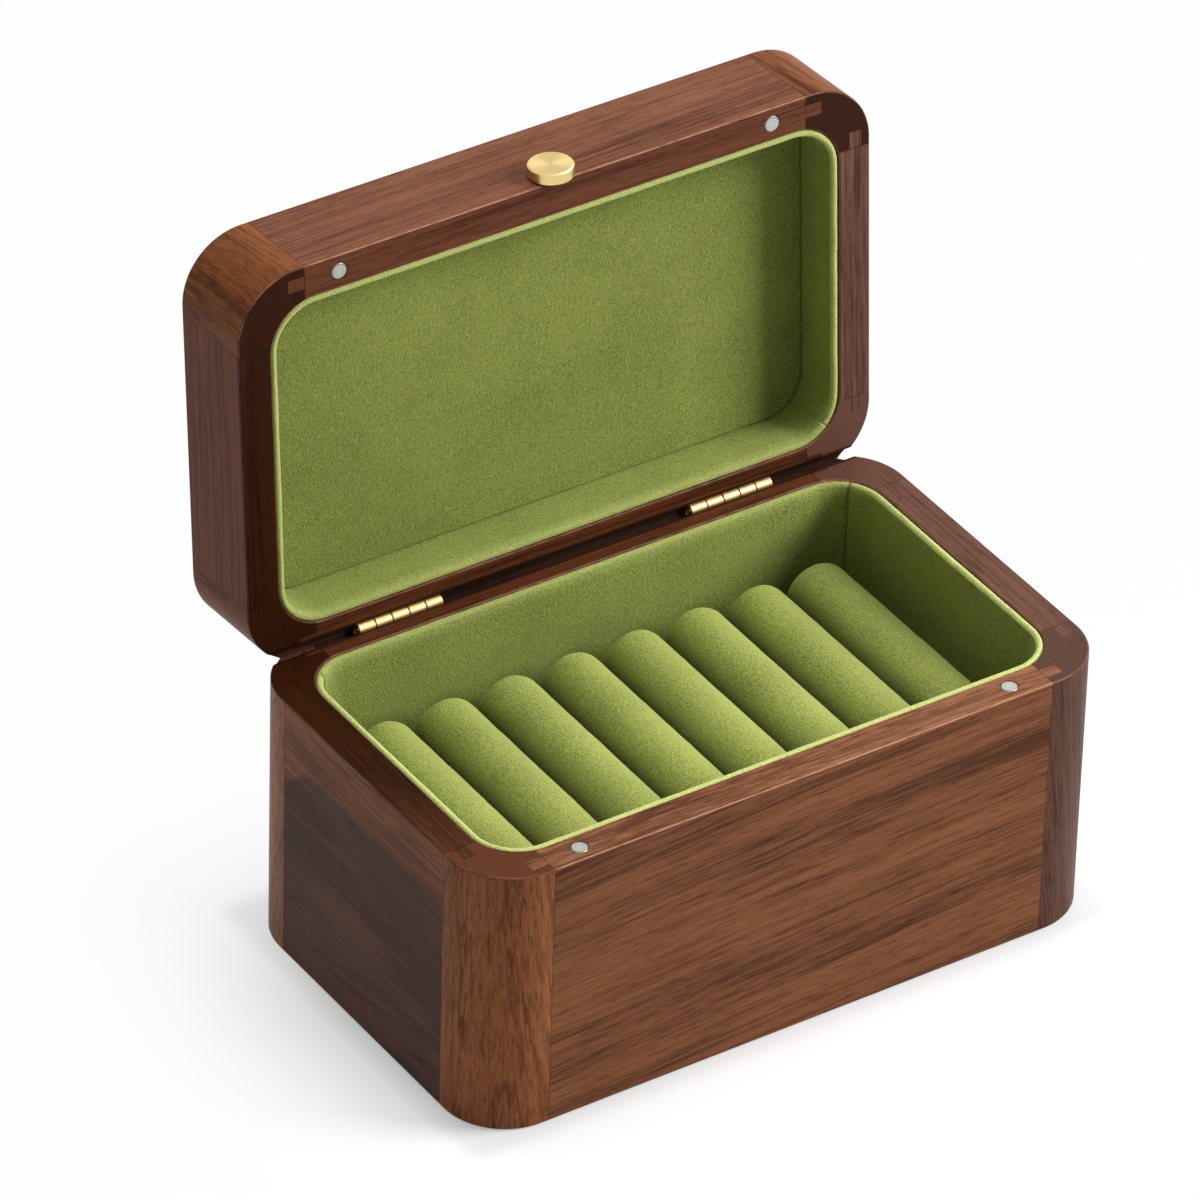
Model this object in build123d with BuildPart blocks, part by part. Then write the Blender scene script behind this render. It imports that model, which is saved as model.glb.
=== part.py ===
"""Bangle box: a walnut case with a hinged lid, a velvet lining and a tray of padded rolls.

Millimetres. X runs left to right, the front faces -Y and Z is up. The origin is the centre of the
underside. The lid is modelled open, the way it stands on its bevelled back edges.
"""

import os
from math import cos, radians, sin, tan

from build123d import *

# Case
box_width = 240
box_depth = 144
base_height = 100
lid_height = 34.5
wall = 12
corner_radius = 22.5
opening_radius = 17
outer_ease = 1.2
rim_ease = 0.7
opening_ease = 0.5

# Corner joints
post_straight = 2.5
tongue_thickness = 4.5
tongue_length = 6
tongue_setback = 3.5

# Panels let into the frames
bottom_thickness = 6
top_thickness = 9
rebate = 6
panel_clearance = 0.1
panel_ease = 0.4

# Lining
lining_thickness = 2
lining_clearance = 0.15
lining_drop = 0.2
lining_round = 0.9
seam_gap = 0.2
ceiling_pad_thickness = 7
ceiling_pad_round = 1

# Roll tray
roll_count = 8
roll_gap = 0.3
roll_side_gap = 9.6
roll_end_gap = 9.55
roll_end_round = 3.8
roll_flat = 0.6
roll_drop = 21
tray_thickness = 3
pad_clearance = 0.35
bearer_thickness = 8
bearer_setback = 1

# Hinges
open_angle = 94
stop_angle = 95
rim_gap = 0.3
hinge_inset = 4
hinge_length = 32
hinge_from_side = 56
knuckle_count = 5
knuckle_radius = 2.2
knuckle_gap = 0.3
knuckle_ease = 0.2
pin_radius = 1
pin_clearance = 0.05
leaf_thickness = 1
leaf_margin = 0.3
leaf_clearance = 0.1
barrel_clearance = 0.15
groove_radius = 2.1
hinge_screws = 3
screw_pitch = 11
screw_radius = 0.6
screw_head_radius = 1.25
screw_length = 8
screw_head_angle = 82
screw_slot = 0.3
screw_clearance = 0.05

# Magnets
magnet_radius = 3
magnet_thickness = 3
magnet_from_side = 38
magnet_clearance = 0.05
magnet_recess = 0.1
magnet_ease = 0.3

# Knob
knob_radius = 7.6
knob_thickness = 4.1
knob_height = 4.2
knob_chamfer = 0.5
knob_dish = 0.25
knob_collar_radius = 3.4
knob_collar_height = 0.4
knob_screw_radius = 1.5
knob_screw_reach = 3
knob_head_radius = 2.8
knob_head_thickness = 1.8
knob_recess_depth = 2.6
knob_head_round = 0.6
knob_slot = 0.7
knob_clearance = 0.1

post_leg = corner_radius + post_straight
opening_width = box_width - 2 * wall
opening_depth = box_depth - 2 * wall
lining_reach = lining_clearance + lining_thickness
pad_inset = lining_reach + pad_clearance
magnet_spread = box_width - 2 * magnet_from_side
hinge_spread = box_width - 2 * hinge_from_side
hinge_y = box_depth / 2 - hinge_inset
hinge_z = base_height + rim_gap / 2
bevel_angle = stop_angle / 2
pocket_radius = knuckle_radius + barrel_clearance
bevel_width = hinge_inset / cos(radians(bevel_angle))
leaf_width = bevel_width - leaf_margin
roll_pitch = (opening_width - 2 * (lining_reach + roll_side_gap) + roll_gap) / roll_count
roll_radius = (roll_pitch - roll_gap) / 2
roll_length = opening_depth - 2 * (lining_reach + roll_end_gap)
roll_axis_height = base_height - roll_drop - roll_radius
tray_top = roll_axis_height - roll_radius + roll_flat
knob_top = knob_collar_height + knob_thickness
hinge_places = {"left": -hinge_spread / 2, "right": hinge_spread / 2}

# Each half of the case is laid out from its own rim and grows away from it
base_rim = Plane.XY.offset(base_height)
hinge_line = Plane((0, hinge_y, hinge_z)).rotated((-open_angle, 0, 0))
lid_rim = Plane(
    hinge_line.from_local_coords((0, -hinge_y, rim_gap / 2)),
    x_dir=hinge_line.x_dir,
    z_dir=hinge_line.z_dir,
)
halves = {
    "base": (base_rim, -1, base_height, bottom_thickness),
    "lid": (lid_rim, 1, lid_height, top_thickness),
}

os.makedirs("parts", exist_ok=True)


def save(piece, label):
    """Name a finished piece and write it."""
    piece.part.label = label
    export_step(piece.part, f"parts/{label}.step")


# Planes that the hinge, the knob and the walls are laid out on
def turned(plane, angle):
    """The same plane with its X and Y turned about its normal."""
    x_dir = plane.x_dir * cos(radians(angle)) + plane.y_dir * sin(radians(angle))
    return Plane(plane.origin, x_dir=x_dir, z_dir=plane.z_dir)


def hinge_section(rim, away, x=0):
    """The plane across the hinge line at x: its X points to the back, its Y away from the rim."""
    origin = rim.from_local_coords((x, hinge_y, -away * rim_gap / 2))
    return Plane(origin, x_dir=rim.y_dir, z_dir=rim.x_dir * away)


def leaf_section(rim, away, x=0):
    """The same plane turned so that its X runs down the bevel and its Y goes into the wood."""
    return turned(hinge_section(rim, away, x), bevel_angle)


def leaf_face(rim, away, x=0):
    """The bevel's own plane, facing out of the wood, along the middle line of the leaf."""
    section = leaf_section(rim, away, x)
    return Plane(
        section.from_local_coords(((pocket_radius + leaf_width) / 2, 0, 0)),
        x_dir=section.z_dir,
        z_dir=section.y_dir * -1,
    )


knob_face = Plane(
    lid_rim.from_local_coords((0, -box_depth / 2, knob_height)),
    x_dir=lid_rim.x_dir,
    z_dir=lid_rim.y_dir * -1,
)


def case_blank(rim, away, height, panel_thickness):
    """One half of the case as glued up and milled, before it is told apart into boards and posts."""
    outward = Axis(rim.origin, rim.z_dir * away)
    with BuildPart() as blank:
        with BuildSketch(rim):
            RectangleRounded(box_width, box_depth, corner_radius)
            RectangleRounded(opening_width, opening_depth, opening_radius, mode=Mode.SUBTRACT)
        extrude(amount=away * height)
        fillet(blank.faces().sort_by(outward)[-1].outer_wire().edges(), outer_ease)
        fillet(blank.faces().sort_by(outward)[0].outer_wire().edges(), rim_ease)
        chamfer(blank.faces().sort_by(outward)[0].inner_wires()[0].edges(), opening_ease)

        # Rebate for the panel
        with BuildSketch(rim.offset(away * (height - panel_thickness))):
            RectangleRounded(
                opening_width + 2 * rebate, opening_depth + 2 * rebate, opening_radius + rebate
            )
        extrude(amount=away * panel_thickness, mode=Mode.SUBTRACT)

        # Round groove along the hinge line, and the bevel that stops the open lid
        with BuildSketch(hinge_section(rim, away)):
            Circle(groove_radius)
        extrude(amount=box_width, both=True, mode=Mode.SUBTRACT)
        with BuildSketch(leaf_section(rim, away)):
            Rectangle(wall, wall, align=(Align.MIN, Align.MAX))
        extrude(amount=box_width, both=True, mode=Mode.SUBTRACT)

        # Pocket for each hinge barrel, with the mortise and the screw holes of its leaf
        for x in hinge_places.values():
            with BuildSketch(leaf_section(rim, away, x)):
                Circle(pocket_radius)
                with Locations((knuckle_radius, 0)):
                    Rectangle(
                        leaf_width + leaf_clearance - knuckle_radius,
                        leaf_thickness,
                        align=(Align.MIN, Align.MIN),
                    )
            extrude(amount=hinge_length / 2 + leaf_clearance, both=True, mode=Mode.SUBTRACT)
            with BuildSketch(leaf_face(rim, away, x)):
                with GridLocations(screw_pitch, 0, hinge_screws, 1):
                    Circle(screw_radius + screw_clearance)
            extrude(amount=-screw_length - screw_clearance, mode=Mode.SUBTRACT)

        # Blind holes for the magnets, in the middle of the front wall's thickness
        with BuildSketch(rim):
            with Locations((0, -(box_depth - wall) / 2)):
                with GridLocations(magnet_spread, 0, 2, 1):
                    Circle(magnet_radius + magnet_clearance)
        extrude(amount=away * (magnet_recess + magnet_thickness), mode=Mode.SUBTRACT)
    return blank


def wall_board(blank, rim, away, height, turn, length, reach):
    """The board that fills one wall between the posts, with a tongue on each end."""
    with BuildPart() as board:
        with BuildSketch(turned(rim, turn)):
            with Locations((0, -reach / 2)):
                Rectangle(length - 2 * post_leg, reach / 2, align=(Align.CENTER, Align.MIN))
            with Locations((0, -reach / 2 + tongue_setback)):
                Rectangle(
                    length - 2 * post_leg + 2 * tongue_length,
                    tongue_thickness,
                    align=(Align.CENTER, Align.MIN),
                )
        extrude(amount=away * height)
        add(blank.part, mode=Mode.INTERSECT)
    return board


def corner_post(blank, rim, away, height, side_x, side_y):
    """The quarter-round post of one corner, grooved for the tongues of its two boards."""
    tongue_inset = tongue_setback + tongue_thickness / 2
    with BuildPart() as post:
        with BuildSketch(rim):
            with Locations((side_x * (box_width - post_leg) / 2, side_y * (box_depth - post_leg) / 2)):
                Rectangle(post_leg, post_leg)
            with Locations((0, side_y * (box_depth / 2 - tongue_inset))):
                Rectangle(
                    box_width - 2 * post_leg + 2 * tongue_length, tongue_thickness, mode=Mode.SUBTRACT
                )
            with Locations((side_x * (box_width / 2 - tongue_inset), 0)):
                Rectangle(
                    tongue_thickness, box_depth - 2 * post_leg + 2 * tongue_length, mode=Mode.SUBTRACT
                )
        extrude(amount=away * height)
        add(blank.part, mode=Mode.INTERSECT)
    return post


def let_in_panel(rim, away, height, thickness):
    """The panel that closes one half, flush in its rebate."""
    with BuildPart() as panel:
        with BuildSketch(rim.offset(away * (height - thickness))):
            RectangleRounded(
                opening_width + 2 * rebate - 2 * panel_clearance,
                opening_depth + 2 * rebate - 2 * panel_clearance,
                opening_radius + rebate - panel_clearance,
            )
        extrude(amount=away * thickness)
        faces = panel.faces().sort_by(Axis(rim.origin, rim.z_dir * away))
        chamfer(faces[-1].edges(), panel_ease)
    return panel


def wall_lining(rim, away, height, panel_thickness):
    """The padded band that lines the walls of one half, with a rounded lip just below the rim."""
    outer_width = opening_width - 2 * lining_clearance
    outer_depth = opening_depth - 2 * lining_clearance
    outer_radius = opening_radius - lining_clearance
    with BuildPart() as lining:
        with BuildSketch(rim.offset(away * lining_drop)):
            RectangleRounded(outer_width, outer_depth, outer_radius)
            RectangleRounded(
                outer_width - 2 * lining_thickness,
                outer_depth - 2 * lining_thickness,
                outer_radius - lining_thickness,
                mode=Mode.SUBTRACT,
            )
        extrude(amount=away * (height - panel_thickness - lining_drop))
        lip = lining.faces().sort_by(Axis(rim.origin, rim.z_dir * away))[0]
        fillet(lip.edges(), lining_round)
    return lining


def back_span(margin=0):
    """Plan of the back strip of the lining, whose seams lie in the middle of the back corners."""
    corner_x = opening_width / 2 - opening_radius
    corner_y = opening_depth / 2 - opening_radius
    with BuildSketch(mode=Mode.PRIVATE) as plan:
        Polygon(
            (-corner_x, corner_y),
            (corner_x, corner_y),
            (corner_x + opening_radius, corner_y + opening_radius),
            (-corner_x - opening_radius, corner_y + opening_radius),
            align=None,
        )
        if margin:
            offset(amount=margin, kind=Kind.INTERSECTION)
    return plan.sketch


def hinge_leaf(rim, away, x, knuckles):
    """One leaf: a plate let into the bevel, with its share of the knuckles rolled round the pin."""
    pitch = hinge_length / knuckle_count
    neck = (pin_radius + knuckle_radius) / 2
    with BuildPart() as leaf:
        with BuildSketch(leaf_section(rim, away, x)):
            with Locations((pocket_radius, 0)):
                Rectangle(leaf_width - pocket_radius, leaf_thickness, align=(Align.MIN, Align.MIN))
        extrude(amount=hinge_length / 2, both=True)
        for knuckle in knuckles:
            middle = x + (knuckle - (knuckle_count - 1) / 2) * pitch
            with BuildSketch(leaf_section(rim, away, middle)):
                Circle(knuckle_radius)
                with Locations((neck, 0)):
                    Rectangle(
                        pocket_radius + leaf_thickness - neck,
                        leaf_thickness,
                        align=(Align.MIN, Align.MIN),
                    )
                Circle(pin_radius + pin_clearance, mode=Mode.SUBTRACT)
            extrude(amount=(pitch - knuckle_gap) / 2, both=True)
        with Locations(leaf_face(rim, away, x)):
            with GridLocations(screw_pitch, 0, hinge_screws, 1):
                CounterSinkHole(
                    screw_radius + screw_clearance,
                    screw_head_radius + screw_clearance,
                    counter_sink_angle=screw_head_angle,
                )
        ends = leaf.edges().filter_by(GeomType.CIRCLE).filter_by(lambda edge: edge.radius == knuckle_radius)
        chamfer(ends, knuckle_ease)
    return leaf


def hinge_pin(x):
    """The pin, with its ends eased."""
    with BuildPart() as pin:
        with Locations(Plane((x, hinge_y, hinge_z), z_dir=(1, 0, 0))):
            Cylinder(pin_radius, hinge_length - knuckle_gap)
        chamfer(pin.edges().filter_by(GeomType.CIRCLE), pin_radius / 3)
    return pin


def leaf_screws(rim, away, x):
    """The small countersunk screws of one leaf, slotted across their heads."""
    head_depth = (screw_head_radius - screw_radius) / tan(radians(screw_head_angle / 2))
    on_top = (Align.CENTER, Align.CENTER, Align.MAX)
    with BuildPart() as screws:
        with Locations(leaf_face(rim, away, x)):
            with GridLocations(screw_pitch, 0, hinge_screws, 1):
                Cylinder(screw_radius, screw_length, align=on_top)
                Cone(screw_radius, screw_head_radius, head_depth, align=on_top)
                Box(2 * screw_head_radius, screw_slot, screw_slot, align=on_top, mode=Mode.SUBTRACT)
    return screws


def rim_magnet(rim, away, side):
    """A disc magnet set in the front rim, its face just below the wood."""
    with BuildPart() as magnet:
        with BuildSketch(rim.offset(away * magnet_recess)):
            with Locations((side * magnet_spread / 2, -(box_depth - wall) / 2)):
                Circle(magnet_radius)
        extrude(amount=away * magnet_thickness)
        face = magnet.faces().sort_by(Axis(rim.origin, rim.z_dir * away))[0]
        chamfer(face.edges(), magnet_ease)
    return magnet


def bangle_roll(x):
    """A stuffed roll with rounded ends, pressed flat where it is glued to the tray."""
    with BuildPart() as roll:
        with Locations(Plane((x, 0, roll_axis_height), z_dir=(0, 1, 0))):
            Cylinder(roll_radius, roll_length)
        fillet(roll.edges().filter_by(GeomType.CIRCLE), roll_end_round)
        split(bisect_by=Plane.XY.offset(tray_top), keep=Keep.TOP)
    return roll


# Wooden case, board by board
turns = {
    "front": (0, box_width, box_depth),
    "right": (90, box_depth, box_width),
    "back": (180, box_width, box_depth),
    "left": (270, box_depth, box_width),
}
corners = {
    "front_left": (-1, -1),
    "front_right": (1, -1),
    "back_left": (-1, 1),
    "back_right": (1, 1),
}
for half, (rim, away, height, panel_thickness) in halves.items():
    blank = case_blank(rim, away, height, panel_thickness)
    for side, (turn, length, reach) in turns.items():
        board = wall_board(blank, rim, away, height, turn, length, reach)
        if (half, side) == ("lid", "front"):
            with board:
                with Locations(knob_face.offset(-wall)):
                    Cylinder(
                        knob_screw_radius + knob_clearance,
                        wall,
                        align=(Align.CENTER, Align.CENTER, Align.MIN),
                        mode=Mode.SUBTRACT,
                    )
                    Cylinder(
                        knob_head_radius + knob_clearance,
                        knob_recess_depth,
                        align=(Align.CENTER, Align.CENTER, Align.MIN),
                        mode=Mode.SUBTRACT,
                    )
        save(board, f"{half}_{side}_board")
    for corner, (side_x, side_y) in corners.items():
        save(corner_post(blank, rim, away, height, side_x, side_y), f"{half}_post_{corner}")

    # Lining: one band round the front and sides, and a strip along the back
    lining = wall_lining(rim, away, height, panel_thickness)
    with BuildPart() as wrap:
        add(lining.part)
        with BuildSketch(rim):
            add(back_span(seam_gap))
        extrude(amount=away * height, mode=Mode.SUBTRACT)
    save(wrap, f"{half}_wall_lining")
    with BuildPart() as strip:
        with BuildSketch(rim):
            add(back_span())
        extrude(amount=away * height)
        add(lining.part, mode=Mode.INTERSECT)
    save(strip, f"{half}_back_lining")

    for place, side in (("left", -1), ("right", 1)):
        save(rim_magnet(rim, away, side), f"{half}_magnet_{place}")

save(let_in_panel(base_rim, -1, base_height, bottom_thickness), "base_bottom_panel")
save(let_in_panel(lid_rim, 1, lid_height, top_thickness), "lid_top_panel")

# Padded board that lines the lid's ceiling, cut to the same plan as the tray
pad_plan = (opening_width - 2 * pad_inset, opening_depth - 2 * pad_inset, opening_radius - pad_inset)
with BuildPart() as ceiling_pad:
    with BuildSketch(lid_rim.offset(lid_height - top_thickness - ceiling_pad_thickness)):
        RectangleRounded(*pad_plan)
    extrude(amount=ceiling_pad_thickness)
    face = ceiling_pad.faces().sort_by(Axis(lid_rim.origin, lid_rim.z_dir))[0]
    fillet(face.edges(), ceiling_pad_round)
save(ceiling_pad, "lid_ceiling_pad")

# Tray board on two bearers, and its rolls
with BuildPart() as tray:
    with BuildSketch(Plane.XY.offset(tray_top)):
        RectangleRounded(*pad_plan)
    extrude(amount=-tray_thickness)
save(tray, "roll_tray_board")

bearer_length = opening_width - 2 * (opening_radius + bearer_setback)
bearer_height = tray_top - tray_thickness - bottom_thickness
bearer_y = (opening_depth - bearer_thickness) / 2 - pad_inset
for place, side in (("front", -1), ("back", 1)):
    with BuildPart() as bearer:
        with Locations((0, side * bearer_y, bottom_thickness)):
            Box(
                bearer_length,
                bearer_thickness,
                bearer_height,
                align=(Align.CENTER, Align.CENTER, Align.MIN),
            )
    save(bearer, f"tray_bearer_{place}")

for number in range(roll_count):
    save(bangle_roll((number - (roll_count - 1) / 2) * roll_pitch), f"bangle_roll_{number + 1}")

# Hinges
for place, x in hinge_places.items():
    save(hinge_leaf(base_rim, -1, x, range(0, knuckle_count, 2)), f"{place}_hinge_base_leaf")
    save(hinge_leaf(lid_rim, 1, x, range(1, knuckle_count, 2)), f"{place}_hinge_lid_leaf")
    save(hinge_pin(x), f"{place}_hinge_pin")
    save(leaf_screws(base_rim, -1, x), f"{place}_hinge_base_screws")
    save(leaf_screws(lid_rim, 1, x), f"{place}_hinge_lid_screws")

# Turned knob, which reaches over the rim on its collar, and the screw that holds it from inside
with BuildPart() as knob:
    with BuildSketch(Plane(knob_face.origin, x_dir=knob_face.x_dir, z_dir=knob_face.y_dir * -1)):
        with BuildLine():
            Polyline(
                (0, 0),
                (knob_collar_radius, 0),
                (knob_collar_radius, knob_collar_height),
                (knob_radius - knob_chamfer / 2, knob_collar_height),
                (knob_radius, knob_collar_height + knob_chamfer / 2),
                (knob_radius, knob_top - knob_chamfer),
                (knob_radius - knob_chamfer, knob_top),
            )
            TangentArc(
                (0, knob_top - knob_dish),
                (knob_radius - knob_chamfer, knob_top),
                tangent=(1, 0),
            )
            Line((0, knob_top - knob_dish), (0, 0))
        make_face()
    revolve(axis=Axis(knob_face.origin, knob_face.z_dir))
    with Locations(knob_face):
        Cylinder(
            knob_screw_radius + pin_clearance,
            knob_collar_height + knob_screw_reach + knob_clearance,
            align=(Align.CENTER, Align.CENTER, Align.MIN),
            mode=Mode.SUBTRACT,
        )
save(knob, "lid_knob")

with BuildPart() as knob_screw:
    with Locations(knob_face.offset(knob_recess_depth - wall)):
        Cylinder(
            knob_screw_radius,
            wall - knob_recess_depth + knob_collar_height + knob_screw_reach,
            align=(Align.CENTER, Align.CENTER, Align.MIN),
        )
        Cylinder(
            knob_head_radius, knob_head_thickness, align=(Align.CENTER, Align.CENTER, Align.MAX)
        )
    head = knob_screw.faces().sort_by(Axis(knob_face.origin, knob_face.z_dir))[0]
    fillet(head.edges(), knob_head_round)
    with Locations(knob_face.offset(knob_recess_depth - wall - knob_head_thickness)):
        Box(
            2 * knob_head_radius,
            knob_slot,
            knob_slot,
            align=(Align.CENTER, Align.CENTER, Align.MIN),
            mode=Mode.SUBTRACT,
        )
save(knob_screw, "knob_screw")
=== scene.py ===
"""Bangle box: the looks of a walnut case with a hinged lid, velvet lining, padded rolls and brass."""

from math import cos, pi, radians, sin, sqrt, tau

import bpy
from bpy.props import FloatProperty, FloatVectorProperty, PointerProperty
from mathutils import Matrix, Vector, noise


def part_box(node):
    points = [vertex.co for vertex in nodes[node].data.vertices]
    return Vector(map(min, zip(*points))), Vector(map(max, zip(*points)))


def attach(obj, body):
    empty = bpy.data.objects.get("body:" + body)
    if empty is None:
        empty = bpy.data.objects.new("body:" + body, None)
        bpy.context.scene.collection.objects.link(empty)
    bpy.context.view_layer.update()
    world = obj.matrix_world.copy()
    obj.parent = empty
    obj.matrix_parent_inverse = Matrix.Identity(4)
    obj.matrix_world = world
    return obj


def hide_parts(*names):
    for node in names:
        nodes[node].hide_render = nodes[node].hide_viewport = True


bl_info = {
    "name": "Bangle box",
    "version": (1, 0, 0),
    "blender": (4, 5, 0),
    "location": "View3D > Sidebar > Bangle Box",
    "description": "Dresses the bangle box in walnut, velvet and brass, and sets its stage",
    "category": "Object",
}

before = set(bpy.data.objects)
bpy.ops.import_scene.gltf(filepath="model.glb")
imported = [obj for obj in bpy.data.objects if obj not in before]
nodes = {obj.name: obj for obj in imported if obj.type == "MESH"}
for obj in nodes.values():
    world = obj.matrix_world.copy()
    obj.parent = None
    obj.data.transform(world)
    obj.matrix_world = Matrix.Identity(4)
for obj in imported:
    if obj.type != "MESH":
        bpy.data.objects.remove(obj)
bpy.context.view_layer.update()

# The lid turns about the middle of its pins, and stands open
pin_low, pin_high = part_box("left_hinge_pin")
hinge_line = Vector((0, (pin_low.y + pin_high.y) / 2, (pin_low.z + pin_high.z) / 2))
open_angle = radians(94)
lid_opening = (
    Matrix.Translation(hinge_line)
    @ Matrix.Rotation(-open_angle, 4, "X")
    @ Matrix.Translation(-hinge_line)
)


def closed_box(name):
    """Corners of a lid node's box, as it lies with the lid closed."""
    node = nodes[name]
    turn = lid_opening.inverted() @ node.matrix_world
    places = [turn @ vertex.co for vertex in node.data.vertices]
    low = Vector([min(place[axis] for place in places) for axis in range(3)])
    high = Vector([max(place[axis] for place in places) for axis in range(3)])
    return low, high


# Measures that the pieces share, in metres, taken from the frame
half_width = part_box("base_right_board")[1].x
half_depth = -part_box("base_front_board")[0].y
rim_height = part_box("base_front_board")[1].z
post_leg = half_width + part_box("base_post_front_left")[1].x
lid_rim_height = closed_box("lid_left_board")[0].z
lining_low, lining_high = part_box("base_wall_lining")
lining_corner = 0.01685
lining_thickness = 0.002
lining_drop = rim_height - lining_high.z
pad_low, pad_high = closed_box("lid_ceiling_pad")
tray_low, tray_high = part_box("roll_tray_board")
pad_corner = 0.0145
plan_step = 0.002  # between the points along a straight wall


def srgb(red, green, blue):
    """A colour as it looks on screen, 0 to 255, as the linear values that a shader takes."""
    values = []
    for value in (red, green, blue):
        value /= 255
        values.append(value / 12.92 if value <= 0.04045 else ((value + 0.055) / 1.055) ** 2.4)
    return tuple(values)


# Settings that a user would change, and short forms of their kinds
def color(name, description, default):
    return FloatVectorProperty(
        name=name, description=description, default=default, subtype="COLOR", size=3, min=0, max=1
    )


def fraction(name, description, default):
    return FloatProperty(name=name, description=description, default=default, min=0, max=1)


def bearing(name, description, default):
    return FloatProperty(name=name, description=description, default=default, subtype="ANGLE")


class BangleBoxWood(bpy.types.PropertyGroup):
    """Walnut of the case."""

    front: color("Front boards", "Middle tone of the front boards", srgb(113, 70, 44))
    front_rim: color("Front rim", "Middle tone of the rim over the front board", srgb(135, 89, 63))
    side: color("Left board", "Middle tone of the left board, cut from dark heartwood", srgb(85, 52, 37))
    side_top: color("Left board's top", "Lighter wood along the left board's top", srgb(131, 80, 52))
    dark_rim: color("Dark rims", "Middle tone of the rims on the left and at the back", srgb(49, 20, 5))
    back_rim: color("Hinge rims", "Middle tone of the rims beside the hinges", srgb(84, 45, 24))
    right: color("Right boards", "Middle tone of the boards that face away", srgb(82, 56, 46))
    right_rim: color("Right rims", "Middle tone of the rims on the right", srgb(97, 65, 53))
    post: color("Left posts", "Middle tone of the posts on the left", srgb(135, 82, 49))
    post_rim: color("Front left rim", "Middle tone of the rim on the front left post", srgb(90, 50, 30))
    # Painted light: lighter than the other posts, standing in for the light that this post's narrow face
    # catches
    post_back: color("Back left post", "Middle tone of the post at the back left", srgb(148, 101, 76))
    post_right: color("Right posts", "Middle tone of the posts on the right", srgb(85, 57, 45))
    lid_front: color("Lid front", "Middle tone of the lid's front board", srgb(111, 69, 49))
    lid_rim: color("Lid front rim", "Middle tone of the rim at the lid's front", srgb(92, 52, 34))
    lid_left: color("Lid left", "Middle tone of the lid's left board", srgb(110, 62, 38))
    lid_post: color("Lid post", "Middle tone of the lid's front left post", srgb(122, 71, 39))
    # Painted highlight: the lighter tone put on the eased edges beside the rims, where the lamps catch
    # them
    edge_highlight: color("Worn edges", "Tone of the edges that sanding has laid bare", srgb(176, 126, 102))
    gloss: fraction("Roughness", "Roughness of the oiled surface", 0.45)
    pores: fraction("Pores", "How dark the open pores are", 0.58)
    hairs: fraction("Hair lines", "How dark the thin lines are", 0.6)


class BangleBoxVelvet(bpy.types.PropertyGroup):
    """Velvet of the lining and the rolls."""

    pile: color("Pile", "Colour of the velvet", srgb(128, 137, 62))
    # The lip colour is also the painted highlight on lips and roll tops, and the painted sheen toward
    # grazing views
    lip: color("Lip", "Colour of the velvet where it is turned over an edge", srgb(204, 212, 132))
    # Painted shade: the colour that seams and the rolls' lower flanks are darkened toward
    shade_tone: color("Deep pile", "Colour between the fibres", srgb(42, 51, 10))
    nap: FloatProperty(
        name="Nap", description="Size of the tufts of the pile", default=0.0005, unit="LENGTH"
    )
    wave: FloatProperty(
        name="Lip waviness",
        description="How far the turned edge wanders",
        default=0.00018,
        unit="LENGTH",
    )


class BangleBoxMetal(bpy.types.PropertyGroup):
    """Brass, steel and magnets."""

    hinge: color("Hinge brass", "Colour of the polished hinges", srgb(232, 196, 132))
    knob: color("Knob brass", "Colour of the turned knob", srgb(250, 218, 150))
    magnet: color("Magnet", "Colour of the plated magnets", srgb(198, 198, 192))
    steel: color("Steel", "Colour of the knob's screw", srgb(172, 172, 170))


class BangleBoxStage(bpy.types.PropertyGroup):
    """Floor, lamps and camera."""

    floor: color("Floor", "Colour of the floor", (0.72, 0.72, 0.72))
    shadow: fraction("Shadow", "How dark the shadows look beside the box", 0.66)
    sky: FloatProperty(name="Soft light", description="Strength of the even light", default=0.33)
    key: FloatProperty(name="Key lamp", description="Power of the large lamp", default=45, unit="POWER")
    top: FloatProperty(name="Top lamp", description="Power of the top lamp", default=18, unit="POWER")
    lens: FloatProperty(name="Lens", description="Focal length in millimetres", default=313.784)
    azimuth: bearing("Camera azimuth", "Where the camera stands round the box", radians(-34.261))
    elevation: bearing("Camera elevation", "How high the camera looks down", radians(35.565))
    roll: bearing("Camera roll", "Turn of the camera about its own line of sight", radians(1.7324))
    distance: FloatProperty(
        name="Camera distance",
        description="Distance of the camera from the box",
        default=3.36316,
        unit="LENGTH",
    )


# Node helpers: most find their tree from the sockets that they are given
def empty_tree(owner):
    """The node tree of a material or a world, with nothing in it."""
    owner.use_nodes = True
    owner.node_tree.nodes.clear()
    return owner.node_tree


def new_material(name):
    """A material with an empty tree, its shader and its output."""
    material = bpy.data.materials.new(name)
    tree = empty_tree(material)
    output = tree.nodes.new("ShaderNodeOutputMaterial")
    shader = tree.nodes.new("ShaderNodeBsdfPrincipled")
    tree.links.new(shader.outputs["BSDF"], output.inputs["Surface"])
    return material, tree, shader


def linked(name, data):
    """A new object with its data, in the scene."""
    made = bpy.data.objects.new(name, data)
    bpy.context.scene.collection.objects.link(made)
    return made


def plug(socket, value):
    if isinstance(value, bpy.types.NodeSocket):
        socket.id_data.links.new(value, socket)
    else:
        socket.default_value = value


def tree_of(*values):
    """The tree that the sockets among some values stand in."""
    return next(value.id_data for value in values if isinstance(value, bpy.types.NodeSocket))


def add(tree, kind, inputs=None, **settings):
    """A node with its settings, and its inputs linked or set."""
    made = tree.nodes.new(kind)
    for key, value in settings.items():
        setattr(made, key, value)
    feed(made, inputs or {})
    return made


def feed(made, inputs):
    """Links or sets the inputs of a node."""
    for key, value in inputs.items():
        plug(made.inputs[key], value)


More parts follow.
